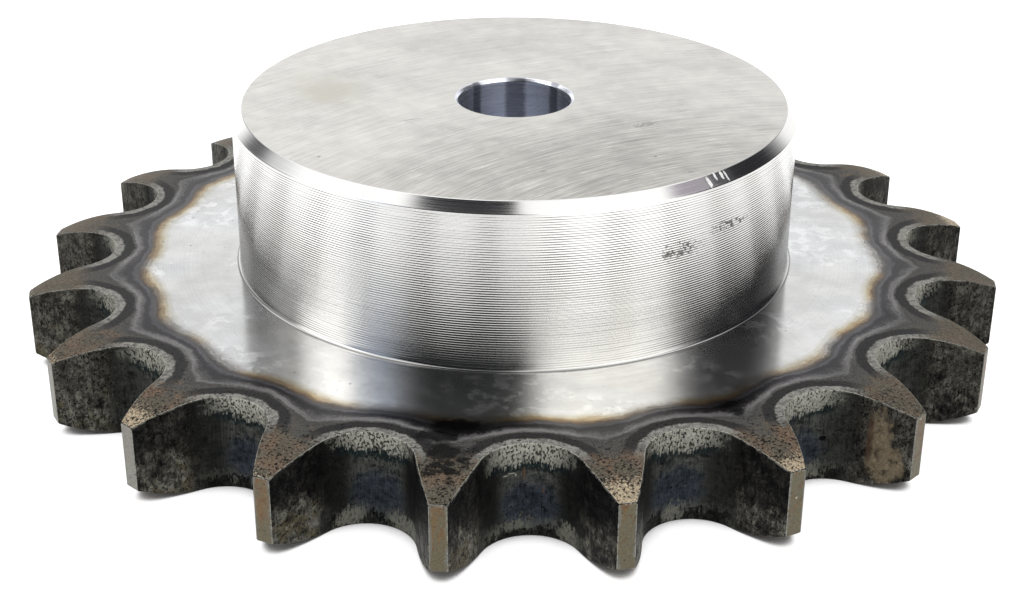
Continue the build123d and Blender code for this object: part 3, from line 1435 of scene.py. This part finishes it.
@dataclass
class Sprocket:
    """The whole part: a closed stack of rings, from the bore outwards and back into the bore."""

    bore_radius: float
    length: float
    width: float
    teeth: ToothForm = field(default_factory=ToothForm)
    relief: SideRelief = field(default_factory=SideRelief)
    heat: HeatLines = field(default_factory=HeatLines)
    hub: Hub = field(default_factory=Hub)
    finishes: dict[Zone, Finish] = field(default_factory=zone_finishes)
    bore_chamfer: float = 0.5
    edge_break: float = 0.12
    edge_round: float = 0.2
    tip_margin: float = 0.06
    inner_radius: float = 58.0
    back_radii: tuple[float, ...] = (18.0, 30.0, 42.0, 52.0, 56.5)
    front_radii: tuple[float, ...] = (56.5, 54.0, 51.5)
    end_radii: tuple[float, ...] = (36.0, 24.0, 14.0)
    back_shares: np.ndarray = field(default_factory=lambda: np.linspace(0, 1, 14) ** 0.9)
    front_shares: np.ndarray = field(default_factory=lambda: np.linspace(1, 0, 20) ** 0.9)
    wall_bands: int = 8
    bore_bands: int = 8
    round_columns: int = 200
    rings: list[Ring] = field(default_factory=list)

    def circles(self, zone: Zone, rows: Iterable[tuple[float, float, float, float]]) -> None:
        """Adds round rings.

        Args:
            zone: Their finish.
            rows: For each ring its radius, its height over the plate's back face, and the outward
                and upward parts of its normals.
        """
        directions = around(np.arange(self.round_columns) * (2 * math.pi / self.round_columns))
        for radius, height, out, up in rows:
            points = np.insert(directions * radius, 2, height, axis=1)
            normals = np.insert(directions * out, 2, up, axis=1) / math.hypot(out, up)
            self.rings.append(Ring(zone, points, normals))

    def side(self, shares: np.ndarray, up: float) -> None:
        """Adds the rings of one side of the plate, between the inner circle and the outline.

        Each ring is the inner circle blended with the outline by its share, and lies on the flat
        face or, towards the tips, on the relief arc.

        Args:
            shares: How far towards the outline each ring lies, from 0 to 1.
            up: 1 on the hub's side of the plate and -1 on its back.
        """
        outline, outward = self.teeth.outline()
        inset = outline - outward * self.edge_round
        inner = self.inner_radius * around(np.arange(len(outline)) * (2 * math.pi / len(outline)))
        for share in shares:
            flat = (1 - share) * inner + share * inset
            radius = np.hypot(*flat.T)
            fall, slope = self.relief.fall(radius, self.teeth.tip_radius)
            height = self.width - fall if up > 0 else fall
            points = np.column_stack([flat, height])
            leaning = flat / radius[:, None] * slope[:, None]
            normals = np.column_stack([leaning, np.sqrt(1 - slope**2) * up])
            self.rings.append(Ring(Zone.PLATE, points, normals))

    def walls(self) -> None:
        """Adds the rings of the gap walls and tips, with a small round at both edges."""
        outline, outward = self.teeth.outline()
        low, _ = self.relief.fall(np.hypot(*outline.T), self.teeth.tip_radius)
        high = self.width - low
        run = np.cumsum(np.hypot(*(outline - np.roll(outline, 1, 0)).T))
        per_pitch = self.teeth.points_per_pitch
        offsets = run[:, None] - run[per_pitch // 2 :: per_pitch]
        along = offsets[np.arange(len(run)), np.argmin(np.abs(offsets), 1)]
        half = math.sqrt(0.5)
        bow = self.edge_round * (1 - half)
        rounded = outline - outward * bow
        rows = [(rounded, low + bow, half, -half)]
        for share in np.linspace(0, 1, self.wall_bands + 1):
            height = low + self.edge_round + share * (high - low - 2 * self.edge_round)
            rows.append((outline, height, 1.0, 0.0))
        rows.append((rounded, high - bow, half, half))
        for flat, height, out, up in rows:
            points = np.column_stack([flat, height])
            normals = np.insert(outward * out, 2, up, axis=1)
            self.rings.append(Ring(Zone.WALL, points, normals, along, high - height))

    def hub_side(self) -> None:
        """Adds the hub's root fillet, its turned side and its rim chamfer.

        The side's radius follows a cosine of the height: one turning groove for each feed.
        """
        hub, cut = self.hub, self.edge_break
        radius = hub.diameter / 2
        rows = []
        for turn in np.linspace(0, math.pi / 2, hub.fillet_rings):
            out, up = math.sin(turn), math.cos(turn)
            place = (radius + hub.root_fillet * (1 - out), self.width + hub.root_fillet * (1 - up))
            rows.append((*place, out, up))

        low = self.width + hub.root_fillet
        high = self.length - hub.rim_axial
        grooves = round((high - low) / hub.feed)
        whole = 2 * math.pi * grooves
        for phase in np.linspace(0, whole, grooves * hub.steps_per_groove + 1)[1:-1]:
            depth = hub.groove_depth * (1 - math.cos(phase)) / 2
            slope = hub.groove_depth * math.sin(phase) * whole / 2 / (high - low)
            rows.append((radius - depth, low + (high - low) * phase / whole, 1.0, slope))
        self.circles(Zone.HUB_SIDE, rows)

        corner = cut / math.hypot(hub.rim_radial, hub.rim_axial)
        rows = [(radius, high - cut, 1.0, 0.0)]
        for share in (corner, 0.5, 1 - corner):
            place = (radius - share * hub.rim_radial, high + share * hub.rim_axial)
            rows.append((*place, hub.rim_axial, hub.rim_radial))
        self.circles(Zone.RIM, rows)
        self.circles(Zone.HUB_END, [(radius - hub.rim_radial - cut, self.length, 0.0, 1.0)])

    def bore(self) -> None:
        """Adds the bore with its two chamfers, down to the back face."""
        cut, top, radius = self.edge_break, self.length, self.bore_radius
        mouth, low = radius + self.bore_chamfer, self.bore_chamfer + cut
        self.circles(Zone.BORE, [
            (mouth + cut, top, 0.0, 1.0),
            (mouth - cut, top - cut, -1.0, 1.0),
            (radius + cut, top - self.bore_chamfer + cut, -1.0, 1.0),
            *((radius, height, -1.0, 0.0) for height in np.linspace(top - low, low, self.bore_bands + 1)),
            (radius + cut, self.bore_chamfer - cut, -1.0, -1.0),
            (mouth - cut, cut, -1.0, -1.0),
        ])

    def stack(self) -> None:
        """Adds every ring in order: back face, back of the teeth, walls, front, hub and bore."""
        mouth = self.bore_radius + self.bore_chamfer + self.edge_break
        self.circles(Zone.PLATE, ((radius, 0.0, 0.0, -1.0) for radius in (mouth, *self.back_radii)))
        self.side(self.back_shares, -1.0)
        self.walls()
        self.side(self.front_shares, 1.0)
        self.circles(Zone.PLATE, ((radius, self.width, 0.0, 1.0) for radius in self.front_radii))
        self.hub_side()
        self.circles(Zone.HUB_END, ((radius, self.length, 0.0, 1.0) for radius in self.end_radii))
        self.bore()

    @staticmethod
    def band(start: int, count: int, next_start: int, next_count: int) -> np.ndarray:
        """Triangles between two rings, of which one may have several times the other's points.

        Args:
            start: Index of the first ring's first point.
            count: How many points the first ring has.
            next_start: Index of the next ring's first point.
            next_count: How many points the next ring has.

        Returns:
            Corner indices, one triangle a row, turning the same way as the rings' order.
        """
        fine, coarse = max(count, next_count), min(count, next_count)
        ratio = fine // coarse
        column = np.arange(fine)
        follow = (column + 1) % fine
        if ratio == 1:
            first = np.stack([start + column, next_start + column, next_start + follow], 1)
            second = np.stack([start + column, next_start + follow, start + follow], 1)
            return np.vstack([first, second])
        fine_start, coarse_start = (start, next_start) if count > next_count else (next_start, start)
        apex = (column // ratio + (column % ratio >= ratio // 2)) % coarse
        fans = np.stack([fine_start + column, coarse_start + apex, fine_start + follow], 1)
        step = np.arange(coarse)
        tie = fine_start + step * ratio + ratio // 2
        caps = np.stack([tie, coarse_start + step, coarse_start + (step + 1) % coarse], 1)
        triangles = np.vstack([fans, caps])
        return triangles if count > next_count else triangles[:, ::-1]

    def readings(self, points: np.ndarray) -> dict[str, np.ndarray]:
        """What the finishes read at each point, by name.

        Args:
            points: The points of all rings.

        Returns:
            Heat line, distance from the wall, and along and down the wall, in millimetres.
        """
        values = {
            "heat_depth": self.heat.depth(self.teeth, points),
            "wall_distance": self.teeth.wall_distance(points),
        }
        for label in ("along_wall", "below_edge"):
            rows = [np.broadcast_to(getattr(ring, label), len(ring.points)) for ring in self.rings]
            values[label] = np.concatenate(rows)
        return values

    def mesh(self, name: str) -> bpy.types.Object:
        """Joins the rings into one closed mesh with its normals, zones and attributes.

        Args:
            name: Name of the object.

        Returns:
            The object, linked to the scene at the origin.
        """
        self.stack()
        points = np.vstack([ring.points for ring in self.rings])
        sizes = [len(ring.points) for ring in self.rings]
        spans = [*zip(np.cumsum([0, *sizes]).tolist(), sizes)]
        bands = [self.band(*span, *following) for span, following in zip(spans, spans[1:] + spans[:1])]
        corners = np.vstack(bands)[:, ::-1]
        zones = np.repeat([ring.zone.value for ring in self.rings], [len(band) for band in bands])
        reach = np.hypot(*points[corners].mean(1)[:, :2].T)
        on_tip = (zones == Zone.WALL.value) & (reach > self.teeth.tip_radius - self.tip_margin)
        zones[on_tip] = Zone.TIP.value

        data = bpy.data.meshes.new(name)
        data.from_pydata((points * MM).tolist(), [], corners.tolist())
        data.polygons.foreach_set("use_smooth", np.ones(len(corners), bool))
        data.polygons.foreach_set("material_index", zones.astype(np.int32))
        for label, values in self.readings(points).items():
            data.attributes.new(label, "FLOAT", "POINT").data.foreach_set("value", values.astype(np.float32))
        normals = np.vstack([ring.normals for ring in self.rings])
        data.normals_split_custom_set_from_vertices(normals.tolist())
        data.update()
        return linked(name, data)

    def dress(self, piece: bpy.types.Object, effects: Effects) -> None:
        """Gives the piece one material for each zone, in the order of the zones."""
        for zone in Zone:
            piece.data.materials.append(self.finishes[zone].dress(effects))


# --------------------------------------------------------------------------------------------
# Studio
# --------------------------------------------------------------------------------------------


@dataclass(frozen=True)
class View:
    """Camera, aimed at the middle of the plate's back face."""

    azimuth: float = -82.947
    elevation: float = 26.317
    roll: float = 0.2686
    distance: float = 347.643
    focal_px: float = 1843.17
    centre_px: tuple[float, float] = (513.456, 323.670)
    frame_px: tuple[int, int] = (1024, 601)
    sensor: float = 36.0
    nearest: float = 10.0

    def place(self) -> None:
        """Makes the camera and gives it to the scene."""
        width, height = self.frame_px
        data = bpy.data.cameras.new("camera")
        data.sensor_width = self.sensor
        data.sensor_fit = "HORIZONTAL"
        data.lens = self.focal_px / width * self.sensor
        data.shift_x = (width / 2 - self.centre_px[0]) / width
        data.shift_y = (self.centre_px[1] - height / 2) / width
        data.clip_start = self.nearest * MM
        turn, lift = math.radians(self.azimuth), math.radians(self.elevation)
        toward = Vector((math.cos(lift) * math.cos(turn), math.cos(lift) * math.sin(turn), math.sin(lift)))
        aim = (-toward).to_track_quat("-Z", "Y").to_matrix().to_4x4()
        rolled = aim @ Matrix.Rotation(math.radians(self.roll), 4, "Z")
        camera = linked("camera", data)
        camera.matrix_world = Matrix.Translation(toward * self.distance * MM) @ rolled
        bpy.context.scene.camera = camera


@dataclass(frozen=True)
class Panel:
    """One dark, bright or tinted card in the studio, placed by its direction from the part.

    Directions are degrees: the azimuth turns from the studio's own x axis to its y axis, and the
    elevation rises from the floor's level. Edges fade over the given softness.
    """

    azimuth: tuple[float, float]
    elevation: tuple[float, float]
    shade: Rgb
    soft: float


@dataclass(frozen=True)
class Studio:
    """White tent with bright boxes and dark cards, a soft overhead lamp and a white floor.

    Its lengths are metres.
    """

    turn: float = 7.05
    tent: Rgb = (0.98, 0.99, 1.0)
    ambient: Rgb = (0.9, 0.9, 0.91)
    white: Rgb = (1.0, 1.0, 1.0)
    cards: tuple[Panel, ...] = (
        # Roof of the tent, with its lamps
        Panel((-180, 180), (36, 130), (1.5, 1.5, 1.5), 5),
        # Left: a narrow bright box, a bluish fill and greyer walls behind
        Panel((150, 178), (-4, 30), (0.62, 0.62, 0.62), 4),
        Panel((-184, -157), (3, 50), (3.1, 3.1, 3.1), 4),
        Panel((-158, -139), (0, 50), (0.75, 0.85, 1.05), 4),
        Panel((110, 140), (18, 29), (0.4, 0.4, 0.41), 5),
        Panel((134, 158), (12, 27), (0.16, 0.16, 0.17), 4),
        Panel((96, 130), (-6, 14), (1.5, 1.5, 1.5), 4),
        # Overhead
        Panel((-180, 180), (76, 104), (1.08, 1.08, 1.08), 4),
        # Right: a broad bright box
        Panel((-87, -24), (2, 50), (2.6, 2.58, 2.5), 7),
        # Dark wall beside the camera, and the dark shape that leans in over the part
        Panel((-139, -100), (-14, 62), (0.03, 0.033, 0.036), 6),
        Panel((-124, -80), (-14, 62), (0.03, 0.033, 0.036), 11),
        Panel((-160, -87), (60, 84), (0.04, 0.04, 0.045), 6),
        # Dark corner at the right, fading behind
        Panel((36, 66), (-10, 18), (1.3, 1.3, 1.3), 5),
        Panel((44, 72), (21, 46), (0.3, 0.3, 0.31), 6),
        Panel((-16, 45), (-14, 44), (0.03, 0.03, 0.035), 8),
        Panel((-1, 15), (43, 53), (0.5, 0.46, 0.52), 2),
        Panel((16, 28), (40, 50), (0.05, 0.05, 0.06), 2),
    )
    lamp_size: float = 0.9
    lamp_place: tuple[float, float, float] = (-0.25, 0.15, 1.1)
    lamp_power: float = 3.0
    floor_size: float = 6.0
    near_size: float = 0.22
    floor_shade: float = 0.42
    floor_roughness: float = 0.35
    glows: tuple[tuple[str, float], ...] = (
        ("Camera", 0.85), ("Transmission", 0.85), ("Glossy", 0.87), ("Diffuse", 0.28))
    contact_reach: float = 0.008
    contact_fade: tuple[float, float] = (0.36, 0.46)
    contact_samples: int = 12

    def light(self, effects: Effects) -> None:
        """Makes the world: plain for diffuse light, the tent for gloss, white for the camera.

        Args:
            effects: Shared node groups.
        """
        world = bpy.data.worlds.new("studio")
        bpy.context.scene.world = world
        world.use_nodes = True
        net = Net(world.node_tree)
        net.tree.nodes.clear()
        direction = net.wire("TexCoord", {}, "Generated")
        colour: Feed = self.tent
        for card in self.cards:
            (left, right), (low, high) = card.azimuth, card.elevation
            feeds = {
                "place": direction,
                "azimuth": (left + right) / 2 + self.turn,
                "half_width": (right - left) / 2,
                "elevation": (low + high) / 2,
                "half_height": (high - low) / 2,
                "softness": card.soft,
            }
            colour = net.mix(net.wire("Group", feeds, node_tree=effects.tree("card")), colour, card.shade)
        ray = net.wire("LightPath", {})
        colour = net.mix(ray.other("Is Diffuse Ray"), colour, self.ambient)
        colour = net.mix(ray.other("Is Camera Ray"), colour, self.white)
        output = net.node("ShaderNodeOutputWorld")
        net.feed(net.wire("Background", {"Color": colour}), output.inputs["Surface"])

    def sheet(self, effects: Effects, name: str, sheltered: bool) -> bpy.types.Material:
        """Makes a white sheet that shows white to the camera, and less to mirrored and diffuse rays.

        Args:
            effects: Shared node groups.
            name: Name of the material.
            sheltered: True where the part stands so close that its contact shadow is kept.

        Returns:
            The material.
        """
        paint = Paint(effects, name, Base_Color=(self.floor_shade,) * 3, Roughness=self.floor_roughness,
                      Emission_Color=self.white)
        ray = paint.wire("LightPath", {})
        glow: Feed = 0.0
        for kind, amount in self.glows:
            glow = paint.math("MAXIMUM", glow, ray.other(f"Is {kind} Ray") * amount)
        if sheltered:
            reach = {"Distance": self.contact_reach}
            openness = paint.wire("AmbientOcclusion", reach, "AO", samples=self.contact_samples)
            glow = glow * openness.smooth(*self.contact_fade)
        return paint.shaded(Emission_Strength=glow)

    def floor(self, effects: Effects) -> None:
        """Makes the white floor: a square round the part that keeps its shadow, and the rest.

        Args:
            effects: Shared node groups.
        """
        corners = [(x, y, 0) for reach in (self.near_size / 2, self.floor_size / 2)
                   for x, y in ((-reach, -reach), (reach, -reach), (reach, reach), (-reach, reach))]
        surround = [(k, k + 4, (k + 1) % 4 + 4, (k + 1) % 4) for k in range(4)]
        data = bpy.data.meshes.new("floor")
        data.from_pydata(corners, [], [(0, 1, 2, 3), *surround])
        data.materials.append(self.sheet(effects, "floor_near", True))
        data.materials.append(self.sheet(effects, "floor_white", False))
        data.polygons.foreach_set("material_index", [0, 1, 1, 1, 1])
        linked("floor", data)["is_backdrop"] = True

    def lamp(self) -> None:
        """Makes the soft lamp over the part; it isn't mirrored, since the tent already is."""
        data = bpy.data.lights.new("overhead", "AREA")
        data.shape = "SQUARE"
        data.size = self.lamp_size
        data.energy = self.lamp_power
        lamp = linked("overhead", data)
        lamp.visible_glossy = False
        lamp.location = self.lamp_place
        lamp.rotation_euler = (-Vector(self.lamp_place)).to_track_quat("-Z", "Y").to_euler()

    def build(self, effects: Effects) -> None:
        """Makes world, floor and lamp, and sets the plain view transform.

        Args:
            effects: Shared node groups.
        """
        self.light(effects)
        self.floor(effects)
        self.lamp()
        bpy.context.scene.view_settings.view_transform = "Standard"


def main() -> None:
    """Builds the part and the studio, in order."""
    logging.basicConfig(level=logging.INFO, format="%(name)s: %(message)s")
    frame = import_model()
    cad_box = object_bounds()
    mounts = {mount["name"]: mount for mount in frame["record"]["mounts"]}
    low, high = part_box("sprocket")
    sprocket = Sprocket(
        bore_radius=mounts["bore"]["dims"]["r_mm"],
        length=(high.z - low.z) / MM,
        width=2 * mounts["chain_plane"]["pos_m"][2] / MM,
    )
    effects = Effects()
    piece = sprocket.mesh("sprocket_body")
    sprocket.dress(piece, effects)
    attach(piece, "root")
    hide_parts("sprocket")
    log.info("%s: %d triangles", piece.name, len(piece.data.polygons))
    View().place()
    Studio().build(effects)


if __name__ == "__main__":
    main()
